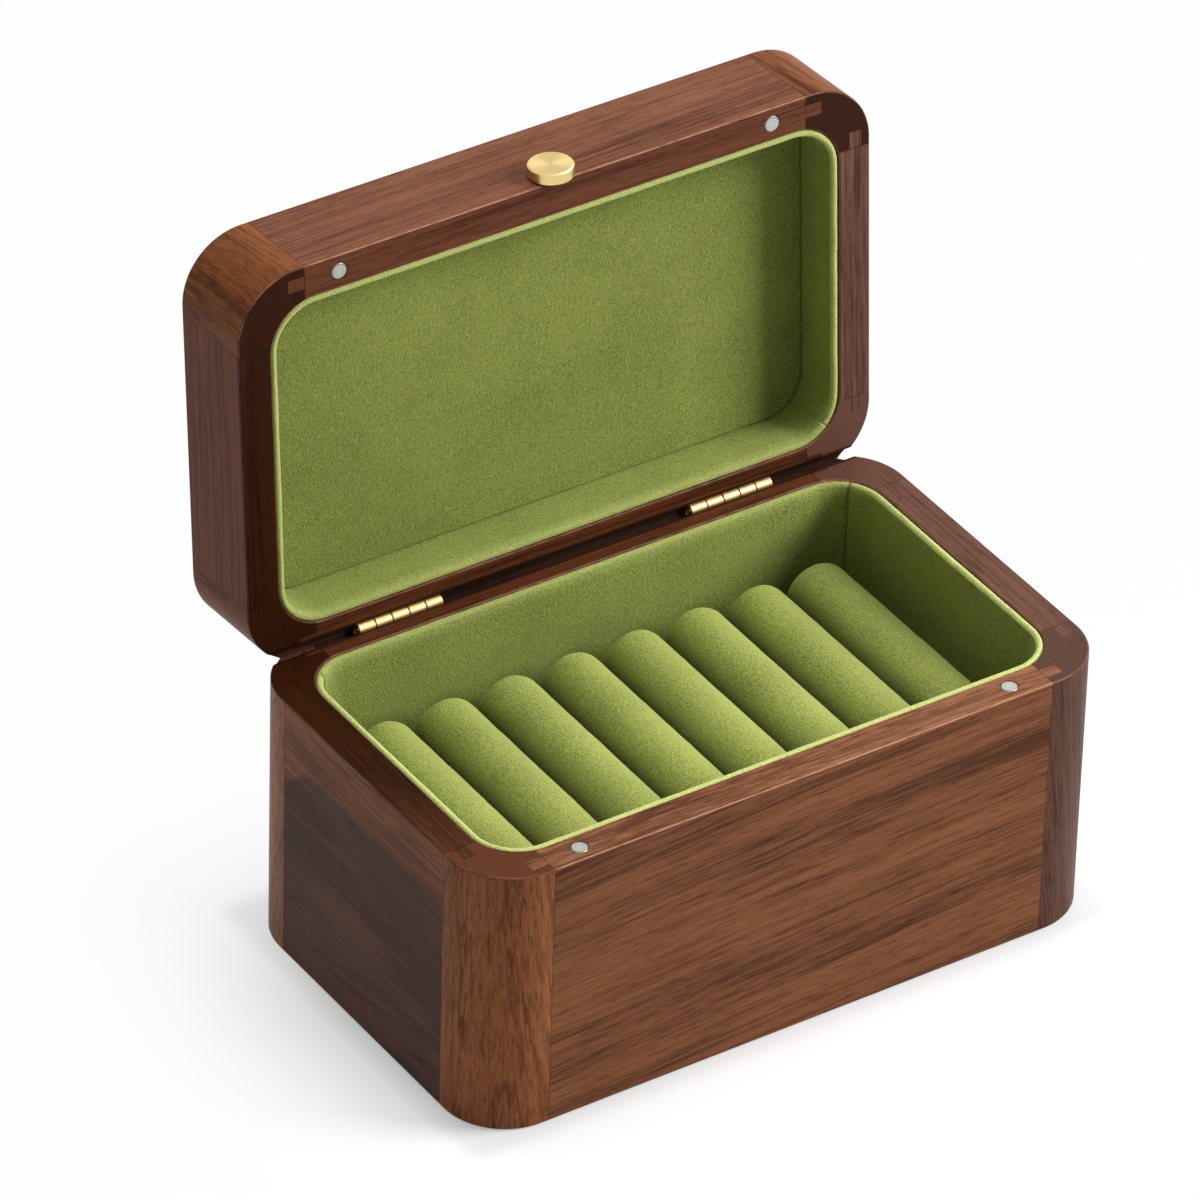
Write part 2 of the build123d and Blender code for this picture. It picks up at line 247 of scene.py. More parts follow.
def calc(operation, first, second=0.0, clamp=False):
    made = tree_of(first, second).nodes.new("ShaderNodeMath")
    made.operation = operation
    made.use_clamp = clamp
    plug(made.inputs[0], first)
    plug(made.inputs[1], second)
    return made.outputs[0]


def times(first, second):
    return calc("MULTIPLY", first, second)


def plus(first, second):
    return calc("ADD", first, second)


def minus(first, second):
    return calc("SUBTRACT", first, second)


def apart(first, second):
    """How far two values are from each other."""
    return calc("ABSOLUTE", minus(first, second))


def vector_calc(operation, first, second=(0, 0, 0)):
    made = tree_of(first, second).nodes.new("ShaderNodeVectorMath")
    made.operation = operation
    plug(made.inputs[0], first)
    plug(made.inputs[1], second)
    return made.outputs["Value" if operation in ("LENGTH", "DOT_PRODUCT") else 0]


def blend(factor, first, second, kind="MIX"):
    made = tree_of(factor, first, second).nodes.new("ShaderNodeMix")
    made.data_type = "RGBA"
    made.blend_type = kind
    plug(made.inputs[0], factor)
    for socket, value in ((made.inputs[6], first), (made.inputs[7], second)):
        plug(socket, value if isinstance(value, bpy.types.NodeSocket) else (*value, 1))
    return made.outputs[2]


def tinted(colour, tint):
    return blend(1.0, colour, tint, "MULTIPLY")


def darken(share, colour, tint):
    """A colour multiplied by a tint, as far as share goes."""
    return blend(share, colour, tinted(colour, tint))


def scaled(colour, share):
    return [value * share for value in colour]


def bumped(height, strength, distance):
    """The normal of a surface with the relief of a height."""
    inputs = {"Height": height, "Strength": strength, "Distance": distance}
    return add(height.id_data, "ShaderNodeBump", inputs).outputs["Normal"]


def object_place(tree):
    return add(tree, "ShaderNodeTexCoord").outputs["Object"]


def spread(value, low, high, to_low=0.0, to_high=1.0):
    """A value taken from one range to another, smoothly, and held at its ends."""
    inputs = {"Value": value, "From Min": low, "From Max": high, "To Min": to_low, "To Max": to_high}
    made = add(value.id_data, "ShaderNodeMapRange", inputs, interpolation_type="SMOOTHSTEP")
    return made.outputs["Result"]


def grain_noise(vector, scale, stretch=(1, 1, 1), detail=2.0, roughness=0.5):
    """Noise on coordinates that are drawn out by stretch."""
    drawn = vector_calc("MULTIPLY", vector, stretch)
    inputs = {"Vector": drawn, "Scale": scale, "Detail": detail, "Roughness": roughness}
    return add(vector.id_data, "ShaderNodeTexNoise", inputs).outputs["Fac"]


def turned_about(vector, centre, angle):
    """A vector turned about a centre and the X axis."""
    inputs = {"Vector": vector, "Center": centre, "Angle": angle}
    made = add(vector.id_data, "ShaderNodeVectorRotate", inputs, rotation_type="X_AXIS")
    return made.outputs["Vector"]


def case_space(tree, on_lid):
    """Coordinates of the closed case: the lid's are turned back about the hinge line."""
    place = object_place(tree)
    return turned_about(place, hinge_line, open_angle) if on_lid else place


# Walnut: each noise of its figure has a scale, its stretch along the fibres, detail and roughness
figure_noise = {
    "broad": (80.0, 0.025, 3.0, 0.6),
    "streaks": (620.0, 0.014, 3.0, 0.7),
    "fine": (1900.0, 0.018, 2.0, 0.6),
    "patches": (22.0, 0.4, 2.0, 0.5),
    "pores": (1700.0, 0.09, 1.0, 0.5),
    "veins": (105.0, 0.03, 2.0, 0.5),
    "vein_places": (34.0, 0.1, 2.0, 0.5),
    "hairs": (290.0, 0.014, 1.0, 0.5),
    "hair_places": (90.0, 0.2, 2.0, 0.5),
}
figure_dark, figure_light = (0.56, 0.5, 0.47), (1.26, 1.29, 1.31)
line_tint, pore_tint = (0.42, 0.36, 0.34), (0.55, 0.48, 0.45)
# The groove tint is the painted shade in the hinges' groove; the joint tint is the dark line where a
# board meets its posts
joint_tint, groove_shade_tint = (0.3, 0.25, 0.25), (0.2, 0.16, 0.15)
groove_shade_strength = 0.88
sway_reach = 0.012
top_band, band_edge = 0.018, 0.0035  # height of the lighter wood along the left board's top
rim_fade, highlight_fade = (0.0008, 0.0002), (0.0011, 0.0006)  # distances from the rim
groove_fade, bevel_fade = (0.0034, 0.0026), (0.006, 0.0046)  # distances from the hinge line
fibre_turn = {"X": (0, 0, 0), "Y": (0, 0, -pi / 2), "Z": (0, pi / 2, 0)}
joint_places = {"X": half_width - post_leg, "Y": half_depth - post_leg}


def figure(vector, kind):
    scale, stretch, detail, roughness = figure_noise[kind]
    return grain_noise(vector, scale, (stretch, 1, 1), detail, roughness)


def fine_lines(vector, kind, place, where, low, high):
    """Thin lines where one noise passes its middle, as far as another lets them come in."""
    off_middle = apart(figure(vector, kind), 0.5)
    shown = spread(figure(place, where), low, high)
    return times(spread(off_middle, 0.05, 0.0), shown)


def case_axis(vector, axis):
    return add(vector.id_data, "ShaderNodeSeparateXYZ", {"Vector": vector}).outputs[axis]


def signed(value, strength):
    """Noise spread over both sides of zero."""
    return times(spread(value, 0.32, 0.68, -1, 1), strength)


def rim_shares(place, on_lid):
    """1 on the rim, and 1 on the eased edges beside it, away from the hinges, where a highlight is
    painted.
    """
    normal = add(place.id_data, "ShaderNodeTexCoord").outputs["Normal"]
    if on_lid:
        normal = turned_about(normal, (0, 0, 0), open_angle)
    level = lid_rim_height if on_lid else rim_height
    below = apart(case_axis(place, "Z"), level)
    upright = calc("ABSOLUTE", case_axis(normal, "Z"))
    on_rim = spread(below, *rim_fade)
    sloping = times(spread(upright, 0.2, 0.55), spread(upright, 0.985, 0.85))
    forward = spread(case_axis(place, "Y"), hinge_line.y - 0.003, hinge_line.y - 0.0045)
    return on_rim, times(sloping, times(spread(below, *highlight_fade), forward))


def groove_shade_share(place):
    """How far a place lies in the groove of the hinges or on the bevel behind it, where shade is
    painted.
    """
    from_hinge = vector_calc("SUBTRACT", place, tuple(hinge_line))
    from_hinge = vector_calc("LENGTH", vector_calc("MULTIPLY", from_hinge, (0, 1, 1)))
    behind = spread(case_axis(place, "Y"), hinge_line.y + 0.0004, hinge_line.y + 0.0028)
    behind = times(behind, spread(from_hinge, *bevel_fade))
    return times(calc("MAXIMUM", spread(from_hinge, *groove_fade), behind), groove_shade_strength)


def fibre_space(place, fibre, seed, slant, swirl):
    """Coordinates along straight fibres, how far the fibres sway, and coordinates along them then."""
    tree = place.id_data
    turned = add(tree, "ShaderNodeMapping", {"Vector": place, "Rotation": fibre_turn[fibre]})
    own = {"Rotation": (0, slant, slant / 2), "Location": (0.37 * seed, 0.11 * seed, 0.23 * seed)}
    seeded = add(tree, "ShaderNodeMapping", {"Vector": turned.outputs[0], **own}).outputs[0]
    drawn = vector_calc("MULTIPLY", seeded, (0.3, 1, 1))
    inputs = {"Vector": drawn, "Scale": 14.0, "Detail": 1.0}
    sway = add(tree, "ShaderNodeTexNoise", inputs).outputs["Color"]
    sway = vector_calc("SUBTRACT", sway, (0.5, 0.5, 0.5))
    reach = sway_reach + swirl
    warped = vector_calc("ADD", seeded, vector_calc("MULTIPLY", sway, (0, reach, reach)))
    return seeded, sway, warped


def face_tone(place, sway, tone, top_tone):
    """The tone of a board, with its lighter wood along the top, where the fibres' sway shows."""
    dip, dip_from, dip_to, wander_height = 0.011, 0.03, 0.048, 0.006  # the band dips at the back
    back = spread(case_axis(place, "Y"), dip_from, dip_to, 0, dip)
    height = plus(case_axis(place, "Z"), back)
    height = plus(height, times(case_axis(sway, "Y"), wander_height))
    band_foot = rim_height - top_band
    return blend(spread(height, band_foot - band_edge, band_foot), tone, top_tone)


def walnut(
    name, fibre, seed, tone, rim_tone, on_lid=False, slant=0.0, top_tone=None, rim_front=None,
    veins=0.5, swirl=0.0, plainness=1.0, edge=0.4, tongued=True
):  # fmt: skip
    """Oiled walnut: streaks and dark veins along one axis of the case, and short open pores.

    rim_tone is the tone on the rim, rim_front the tone that it turns to at the front, top_tone a
    lighter one along the top of a board, plainness how plainly the streaks show, and edge how strong
    the painted highlight on the eased edges is, larger on pieces that face the lamps. A tongued board
    has a dark line where it meets its posts.
    """
    wood = bpy.context.scene.bangle_box_wood
    material, tree, shader = new_material(name)
    place = case_space(tree, on_lid)
    seeded, sway, warped = fibre_space(place, fibre, seed, slant, swirl)

    # Broad streaks, fine fibres, dark veins and hair lines that come and go, and pores
    broad = figure(warped, "broad")
    streaks = figure(warped, "streaks")
    fine = figure(seeded, "fine")
    vein = fine_lines(warped, "veins", seeded, "vein_places", 0.44, 0.6)
    hairs = fine_lines(warped, "hairs", seeded, "hair_places", 0.4, 0.62)
    pores = spread(figure(seeded, "pores"), 0.56, 0.64)
    patches = figure(warped, "patches")
    on_rim, edge_highlight_share = rim_shares(place, on_lid)
    level = signed(broad, 0.24)
    for value, weight in ((streaks, 0.28), (fine, 0.21), (patches, 0.09 + 10 * swirl)):
        level = plus(level, signed(value, weight))
    calm = plainness
    if fibre == "Z":
        calm = minus(plainness, times(on_rim, 0.75 * plainness))
        off_rim = minus(1.0, on_rim)
        vein = times(vein, off_rim)
        hairs = times(hairs, off_rim)
    level = times(level, calm)
    level = calc("ADD", level, 0.5, clamp=True)

    # Tone of the face, of the wood along its top, and of the rim
    middle = face_tone(place, sway, tone, tone if top_tone is None else top_tone)
    if rim_front is not None:
        frontal = spread(case_axis(place, "Y"), -0.005, -0.052)
        rim_tone = blend(frontal, rim_tone, rim_front)
    middle = blend(on_rim, middle, rim_tone)
    colour = blend(spread(level, 0.08, 0.5), tinted(middle, figure_dark), middle)
    light = tinted(middle, figure_light)
    colour = blend(spread(level, 0.5, 0.92), colour, light)
    colour = darken(times(vein, veins), colour, line_tint)
    colour = darken(times(hairs, wood.hairs), colour, line_tint)
    colour = darken(times(pores, wood.pores), colour, pore_tint)

    # A dark line where a board meets its posts, a painted highlight on the eased edges, and painted
    # shade in the hinges' groove
    if tongued and fibre in joint_places:
        along = calc("ABSOLUTE", case_axis(place, fibre))
        off = apart(along, joint_places[fibre] - 0.0001)
        colour = darken(spread(off, 0.0004, 0.0001, 0, 0.6), colour, joint_tint)
    # Painted highlight: a patchy lighter tone on the eased edges, as strong as edge
    patchy = spread(grain_noise(place, 150.0, (1, 1, 1), 2.0), 0.35, 0.6, 0.35 * edge, edge)
    colour = blend(times(edge_highlight_share, patchy), colour, wood.edge_highlight)
    # Painted shade in the hinges' groove and on the bevel behind it
    groove = groove_shade_share(place)
    colour = darken(groove, colour, groove_shade_tint)

    depth = minus(times(fine, 0.5), pores)
    bump = bumped(depth, 0.2, 0.0002)
    rough = plus(times(broad, 0.12), wood.gloss - 0.06)
    rough = calc("ADD", rough, times(groove, 0.55), clamp=True)
    feed(shader, {"Base Color": colour, "Roughness": rough, "Normal": bump})
    shader.inputs["Specular IOR Level"].default_value = 0.1
    shader.inputs["IOR"].default_value = 1.4
    return material


def finish_node(name, material):
    """Gives a carried-over node its material."""
    data = nodes[name].data
    data.materials.clear()
    data.materials.append(material)


class BANGLEBOX_OT_front_boards(bpy.types.Operator):
    """Walnut for the front boards of the case and the lid, its streaks rising a little to the right"""

    bl_idname = "bangle_box.front_boards"
    bl_label = "Front boards"

    def execute(self, context):
        wood = context.scene.bangle_box_wood
        slant = radians(3)
        front = walnut("walnut_front", "X", 1, wood.front, wood.front_rim, False, slant, edge=0.8)
        finish_node("base_front_board", front)
        tones = (wood.lid_front, wood.lid_rim)
        front = walnut("walnut_lid_front", "X", 2, *tones, True, radians(1), edge=0.7)
        finish_node("lid_front_board", front)
        return {"FINISHED"}


class BANGLEBOX_OT_side_boards(bpy.types.Operator):
    """Walnut for the side and back boards, the left one from dark heartwood with a lighter top"""

    bl_idname = "bangle_box.side_boards"
    bl_label = "Side and back boards"

    def execute(self, context):
        wood = context.scene.bangle_box_wood
        tones = {"top_tone": wood.side_top, "rim_front": wood.post_rim}
        heartwood = {"veins": 0.15, "swirl": 0.03, "edge": 0.1}
        left = walnut("walnut_left", "Y", 3, wood.side, wood.dark_rim, **tones, **heartwood)
        finish_node("base_left_board", left)
        plain = {
            "base_right_board": ("walnut_right", "Y", 4, wood.right, wood.right_rim, 0.4),
            "base_back_board": ("walnut_back", "X", 5, wood.right, wood.back_rim, 0.25),
            "lid_right_board": ("walnut_lid_right", "Y", 7, wood.right, wood.right_rim, 0.2),
            "lid_back_board": ("walnut_lid_back", "X", 8, wood.right, wood.back_rim, 0.25),
        }
        for node, (*look, edge) in plain.items():
            finish_node(node, walnut(*look, node.startswith("lid"), edge=edge))
        tones = (wood.lid_left, wood.dark_rim)
        left = walnut("walnut_lid_left", "Y", 6, *tones, True, veins=0.3, edge=0.15)
        finish_node("lid_left_board", left)
        return {"FINISHED"}


class BANGLEBOX_OT_corner_posts(bpy.types.Operator):
    """Walnut for the corner posts, whose fibres stand upright"""

    bl_idname = "bangle_box.corner_posts"
    bl_label = "Corner posts"

    def execute(self, context):
        wood = context.scene.bangle_box_wood
        tones = {
            "base_post_front_left": (wood.post, wood.post_rim, 0.3),
            "base_post_front_right": (wood.post_right, wood.right, 0.3),
            "base_post_back_left": (wood.post_back, wood.dark_rim, 0.1),
            "base_post_back_right": (wood.post_right, wood.right_rim, 0.4),
            "lid_post_front_left": (wood.lid_post, wood.dark_rim, 0.5),
            "lid_post_front_right": (wood.lid_post, wood.dark_rim, 0.3),
            "lid_post_back_left": (wood.lid_left, wood.dark_rim, 0.1),
            "lid_post_back_right": (wood.post_right, wood.right_rim, 0.2),
        }
        upright = {"slant": radians(6), "veins": 0.7, "plainness": 0.85}
        for seed, (name, (tone, rim_tone, edge)) in enumerate(tones.items(), 11):
            look = (f"walnut_{name}", "Z", seed, tone, rim_tone, name.startswith("lid"))
            finish_node(name, walnut(*look, edge=edge, **upright))
        return {"FINISHED"}


class BANGLEBOX_OT_panels(bpy.types.Operator):
    """Walnut for the lid's top panel, the case's bottom and the bearers under the tray"""

    bl_idname = "bangle_box.panels"
    bl_label = "Panels and bearers"

    def execute(self, context):
        wood = context.scene.bangle_box_wood
        top = walnut("walnut_lid_panel", "X", 21, wood.front, wood.front, True, tongued=False)
        finish_node("lid_top_panel", top)
        hidden = (
            ("base_bottom_panel", "walnut_bottom"),
            ("tray_bearer_front", "walnut_bearer_front"),
            ("tray_bearer_back", "walnut_bearer_back"),
        )
        for seed, (node, name) in enumerate(hidden, 22):
            finish_node(node, walnut(name, "X", seed, wood.right, wood.right, tongued=False))
        return {"FINISHED"}


# Metals
def metal(name, tone, rough, scratches=1.0):
    """Polished metal with the faint scratches and smears of handling."""
    material, tree, shader = new_material(name)
    place = object_place(tree)
    smears = grain_noise(place, 260.0, (1, 1, 1), 3.0)
    lines = grain_noise(place, 2600.0, (0.06, 1, 1), 2.0)
    shade = blend(spread(smears, 0.35, 0.7), tone, scaled(tone, 0.93))
    roughness = plus(times(smears, 0.1 * scratches), rough)
    bump = bumped(lines, 0.05 * scratches, 0.0001)
    feed(shader, {"Base Color": shade, "Roughness": roughness, "Normal": bump})
    shader.inputs["Metallic"].default_value = 1.0
    return material


def ring_shade(material, middle, radius):
    """Paints shade on the eased edge of a disc and on the step inside it."""
    tree = material.node_tree
    shader = next(node for node in tree.nodes if node.type == "BSDF_PRINCIPLED")
    tone = shader.inputs["Base Color"].links[0].from_socket
    place = object_place(tree)
    away = vector_calc("LENGTH", vector_calc("SUBTRACT", place, tuple(middle)))
    outer = spread(away, 0.86 * radius, 0.95 * radius)
    inside = spread(away, 0.6 * radius, 0.68 * radius)
    step = times(inside, spread(away, 0.78 * radius, 0.7 * radius))
    shade = plus(times(outer, 0.55), times(step, 0.16))
    tree.links.new(darken(shade, tone, (0.25, 0.24, 0.23)), shader.inputs["Base Color"])


class BANGLEBOX_OT_hinges(bpy.types.Operator):
    """Polished brass for the hinges, their pins and their screws"""

    bl_idname = "bangle_box.hinges"
    bl_label = "Hinges"

    def execute(self, context):
        tones = context.scene.bangle_box_metal
        leaf = metal("brass_hinge", tones.hinge, 0.36, 0.15)
        pin = metal("brass_pin", tones.hinge, 0.2)
        screw = metal("brass_screw", tones.hinge, 0.24)
        for side in ("left", "right"):
            finish_node(f"{side}_hinge_base_leaf", leaf)
            finish_node(f"{side}_hinge_lid_leaf", leaf)
            finish_node(f"{side}_hinge_pin", pin)
            finish_node(f"{side}_hinge_base_screws", screw)
            finish_node(f"{side}_hinge_lid_screws", screw)
        return {"FINISHED"}


class BANGLEBOX_OT_magnets(bpy.types.Operator):
    """Satin plating for the magnets in the rims"""

    bl_idname = "bangle_box.magnets"
    bl_label = "Magnets"

    def execute(self, context):
        for half in ("base", "lid"):
            for side in ("left", "right"):
                name = f"{half}_magnet_{side}"
                low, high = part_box(name)
                plated = metal(f"{name}_plating", context.scene.bangle_box_metal.magnet, 0.34)
                ring_shade(plated, (low + high) / 2, (high.x - low.x) / 2)
                finish_node(name, plated)
        return {"FINISHED"}


class BANGLEBOX_OT_knob(bpy.types.Operator):
    """Turned brass for the knob, with the lathe's rings on its face, and steel for its screw"""

    bl_idname = "bangle_box.knob"
    bl_label = "Knob"

    def execute(self, context):
        tones = context.scene.bangle_box_metal
        material, tree, shader = new_material("brass_knob")
        knob_low, knob_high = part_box("lid_knob")
        middle = lid_opening.inverted() @ ((knob_low + knob_high) / 2)
        place = case_space(tree, True)
        from_middle = vector_calc("SUBTRACT", place, tuple(middle))
        from_axis = vector_calc("MULTIPLY", from_middle, (1, 0, 1))
        radius = vector_calc("LENGTH", from_axis)
        inputs = {"W": radius, "Scale": 5200.0, "Detail": 2.0}
        rings = add(tree, "ShaderNodeTexNoise", inputs, noise_dimensions="1D").outputs["Fac"]
        tone = blend(spread(rings, 0.35, 0.65), scaled(tones.knob, 0.88), tones.knob)
        rough = plus(times(rings, 0.08), 0.26)
        bump = bumped(rings, 0.12, 0.00005)
        feed(shader, {"Base Color": tone, "Roughness": rough, "Normal": bump})

        # Highlights run round the rings, as on any turned face
        opened = turned_about(from_axis, (0, 0, 0), -open_angle)
        axis = lid_opening.to_3x3() @ Vector((0, -1, 0))
        along = {"Vector": vector_calc("CROSS_PRODUCT", tuple(axis), opened)}
        spaces = {"convert_from": "OBJECT", "convert_to": "WORLD"}
        along = add(tree, "ShaderNodeVectorTransform", along, **spaces)
        tree.links.new(along.outputs["Vector"], shader.inputs["Tangent"])
        shader.inputs["Anisotropic"].default_value = 0.7
        shader.inputs["Metallic"].default_value = 1.0
        finish_node("lid_knob", material)
        finish_node("knob_screw", metal("steel_screw", tones.steel, 0.28))
        return {"FINISHED"}


# Velvet
def velvet(name, seed, painted_shading=0.0):
    """Short-pile velvet: tufts and brushed patches, with a painted highlight and painted shade where the
    mesh marks them, and a painted sheen toward grazing views.

    The third argument darkens the whole pile as painted shade, and below zero lightens it as painted
    light.
    """
    cloth = bpy.context.scene.bangle_box_velvet
    pile = scaled(cloth.pile, 1 - painted_shading)
    material, tree, shader = new_material(name)
    place = object_place(tree)
    place = vector_calc("ADD", place, (0.31 * seed, 0.17 * seed, 0.07 * seed))
    tufts = grain_noise(place, 1.15 / cloth.nap, (1, 1, 1), 2.0, 0.65)
    clumps = grain_noise(place, 0.4 / cloth.nap, (1, 1, 1), 2.0)
    brushed = grain_noise(place, 32.0, (1, 1, 1), 2.0)
    tuft_share, clump_share, brush_share = 0.69, 0.16, 0.15
    level = times(spread(tufts, 0.3, 0.7), tuft_share)
    for value, weight in ((clumps, clump_share), (brushed, brush_share)):
        level = plus(level, times(spread(value, 0.3, 0.7), weight))
    body = blend(spread(level, 0.05, 0.95), scaled(pile, 0.55), scaled(pile, 1.45))
    # Shares that the meshes carry: painted highlight on lips and roll tops, and painted shade in seams
    # and on the rolls' lower flanks
    edge = add(tree, "ShaderNodeAttribute", attribute_name="painted_highlight").outputs["Fac"]
    painted_shade_share = add(tree, "ShaderNodeAttribute", attribute_name="painted_shade").outputs["Fac"]
    highlight_tone = blend(spread(tufts, 0.3, 0.7), scaled(cloth.lip, 0.78), cloth.lip)
    body = blend(edge, body, highlight_tone)
    # Painted shade where the mesh marks it
    body = blend(painted_shade_share, body, cloth.shade_tone)
    # Painted sheen: the colour lightens toward grazing views
    facing = add(tree, "ShaderNodeLayerWeight", {"Blend": 0.35}).outputs["Facing"]
    painted_sheen_colour = blend(times(facing, 0.35), body, cloth.lip)
    height = plus(times(tufts, 0.7), times(clumps, 0.5))
    bump = bumped(height, 1.0, 1.3 * cloth.nap)
    feed(shader, {"Base Color": painted_sheen_colour, "Normal": bump})
    shader.inputs["Roughness"].default_value = 0.95
    shader.inputs["Specular IOR Level"].default_value = 0.12
    shader.inputs["Sheen Weight"].default_value = 0.35
    shader.inputs["Sheen Roughness"].default_value = 0.4
    shader.inputs["Sheen Tint"].default_value = (*cloth.lip, 1)
    return material


def mesh_piece(name, points, faces, material, edge=None, painted_shade=None, matrix=None):
    """A smooth mesh with its material, and at each point its share of painted highlight and of painted
    shade.
    """
    if matrix is not None:
        points = [matrix @ Vector(point) for point in points]
    data = bpy.data.meshes.new(name)
    data.from_pydata([tuple(point) for point in points], [], faces)
    data.validate()
    for label, values in (("painted_highlight", edge), ("painted_shade", painted_shade)):
        layer = data.attributes.new(label, "FLOAT", "POINT")
        layer.data.foreach_set("value", values or [0.0] * len(points))
    data.polygons.foreach_set("use_smooth", [True] * len(data.polygons))
    data.materials.append(material)
    data.update()
    return linked(name, data)


def ring_faces(rings, width):
    """Faces between closed rings of points that follow one another."""
    faces = []
    for ring in range(rings - 1):
        for place in range(width):
            a = ring * width + place
            b = ring * width + (place + 1) % width
            faces.append((a, b, b + width, a + width))
    return faces


def wander(place, size, seed):
    """Smooth noise between -1 and 1 over distances of about size."""
    return noise.noise(Vector(place) / size + Vector((seed * 7.3, seed * 3.1, seed * 5.7)))


def corner_arc(centre, start, stop, radius, step):
    """Points round one corner with the way out of the corner at each."""
    count = max(6, int(abs(stop - start) * radius / step))
    made = []
    for number in range(count + 1):
        angle = start + (stop - start) * number / count
        way = Vector((cos(angle), sin(angle)))
        made.append((Vector(centre) + way * radius, way))
    return made


def straight(first, last, step):
    """Points between two places of a plan that face the same way, without its ends."""
    (a, way), (b, _) = first, last
    count = max(2, int((b - a).length / step))
    return [(a.lerp(b, number / count), way) for number in range(1, count)]


def wall_plan():
    """Plan of the lining's outer face: the band round front and sides, and the strip at the back.

    They meet in the middle of the back corners.
    """
    cx, cy = lining_high.x - lining_corner, -lining_low.y - lining_corner
    turns = {
        "back_left": (-cx, cy, 3 * pi / 4, pi),
        "front_left": (-cx, -cy, pi, 3 * pi / 2),
        "front_right": (cx, -cy, 3 * pi / 2, tau),
        "right_end": (cx, cy, 0, pi / 4),
        "back_right": (cx, cy, pi / 4, pi / 2),
        "left_end": (-cx, cy, pi / 2, 3 * pi / 4),
    }
    arcs = {
        name: corner_arc((x, y), start, stop, lining_corner, plan_step / 2)
        for name, (x, y, start, stop) in turns.items()
    }
    band = list(arcs["back_left"])
    for name in ("front_left", "front_right", "right_end"):
        band += straight(band[-1], arcs[name][0], plan_step) + arcs[name]
    strip = list(arcs["back_right"])
    strip += straight(strip[-1], arcs["left_end"][0], plan_step) + arcs["left_end"]
    return band, strip


def lip_profile(height, bead):
    """Section of a wall lining from its outer foot, over its lip, to its inner foot.

    Each place has its depth into the box, its distance below the rim, and its share of the painted
    highlight on the lip. bead is 1 for a full roll of cloth at the rim and 0 for a plain turned edge.
    """
    radius, turn_out, turn_in = 0.00118, 0.0006, 0.0012
    places = [(0.0, height, 0.0), (0.0, height / 2, 0.0), (0.0, 3 * radius, 0.2)]
    for number in range(13):
        angle = pi * number / 12
        rolled = (radius * (1 - cos(angle)), radius * (1 - sin(angle)))
        if angle < pi / 2:
            plain = (turn_out * (1 - cos(angle)), turn_out * (1 - sin(angle)))
        else:
            plain = (lining_thickness - turn_in * (1 + cos(angle)), turn_in * (1 - sin(angle)))
        depth, below = (bead * one + (1 - bead) * other for one, other in zip(rolled, plain))
        places.append((depth, below, bead + (1 - bead) * max(0.0, 0.6 - below / 0.008)))
    under = ((0.0019, 0.7), (0.0024, 0.15), (0.0029, 0.0), (0.0038, 0.0), (0.005, 0.0))
    for below, share in under:
        tuck = 0.0002 * bead if below == 0.0024 else 0.0
        plain_share = max(0.0, 0.6 - below / 0.008)
        places.append((lining_thickness - tuck, below, bead * share + (1 - bead) * plain_share))
    for share in (0.1, 0.18, 0.28, 0.4, 0.54, 0.7, 0.85, 1.0):
        places.append((lining_thickness, 0.005 + (height - 0.005) * share, 0.0))
    return places


def lining_piece(name, path, half, beaded, seamed, seed, material):
    """A band of padded velvet along a wall, its lip just inside the rim.

    A beaded band loses its bead towards its ends, and a seamed one is turned in at them.
    """
    cloth = bpy.context.scene.bangle_box_velvet
    on_lid = half == "lid"
    away = 1 if on_lid else -1
    rim = lid_rim_height if on_lid else rim_height
    floor = pad_high.z if on_lid else lining_low.z
    height = abs(floor - rim) - lining_drop
    seam_width, seam_depth, bead_fade = 0.0012, 0.0005, 0.012
    swell_size, unevenness = 0.0004, 0.0001
    # Strength of the painted highlight on the lip: full on the base's beaded band, weaker on the lid and
    # the back strip
    brightness = 1.0 if beaded and not on_lid else 0.68
    travelled = [0.0]
    for (a, _), (b, _) in zip(path, path[1:]):
        travelled.append(travelled[-1] + (b - a).length)
    points, edge, painted_shade = [], [], []
    for (spot, way), along in zip(path, travelled):
        to_end = min(along, travelled[-1] - along)
        tuck = max(0.0, 1 - to_end / seam_width) if seamed else 0.0
        thin = seam_depth * (1 - sqrt(max(0.0, 1 - tuck * tuck)))
        bead = min(1.0, to_end / bead_fade) if beaded else 0.0
        sway = wander((spot.x, spot.y, 0), 0.011, seed)
        sway += 0.6 * wander((spot.x, spot.y, 0), 0.0045, seed + 2)
        for depth, below, share in lip_profile(height, bead):
            on_face = depth > 0.3 * lining_thickness
            inward = depth
            if on_face:
                swell = swell_size * sin(min(1.0, below / 0.012) * pi) * (1 - tuck)
                inward += swell + cloth.wave * sway * (1 - min(1, below / 0.02) * 0.5) - thin
                inward += unevenness * wander((spot.x, spot.y, below), 0.006, seed + 4)
            down = lining_drop + below + 0.5 * cloth.wave * (1 + sway) * share
            out = spot - way * inward
            points.append((out.x, out.y, rim + away * down))
            edge.append(share * brightness)
            # Painted shade where the cloth is turned in at a seam
            seam_shade = tuck * (0.25 + 0.45 * min(1.0, below / 0.02))
            painted_shade.append(seam_shade if on_face else 0.0)
    rows, width = len(path), len(points) // len(path)
    faces = ring_faces(rows, width)
    faces.append(tuple(range(width))[::-1])
    faces.append(tuple((rows - 1) * width + place for place in range(width)))
    if on_lid:
        faces = [face[::-1] for face in faces]
    piece = mesh_piece(name, points, faces, material, edge, painted_shade, lid_opening if on_lid else None)
    for polygon in piece.data.polygons[-2:]:
        polygon.use_smooth = False
    return piece


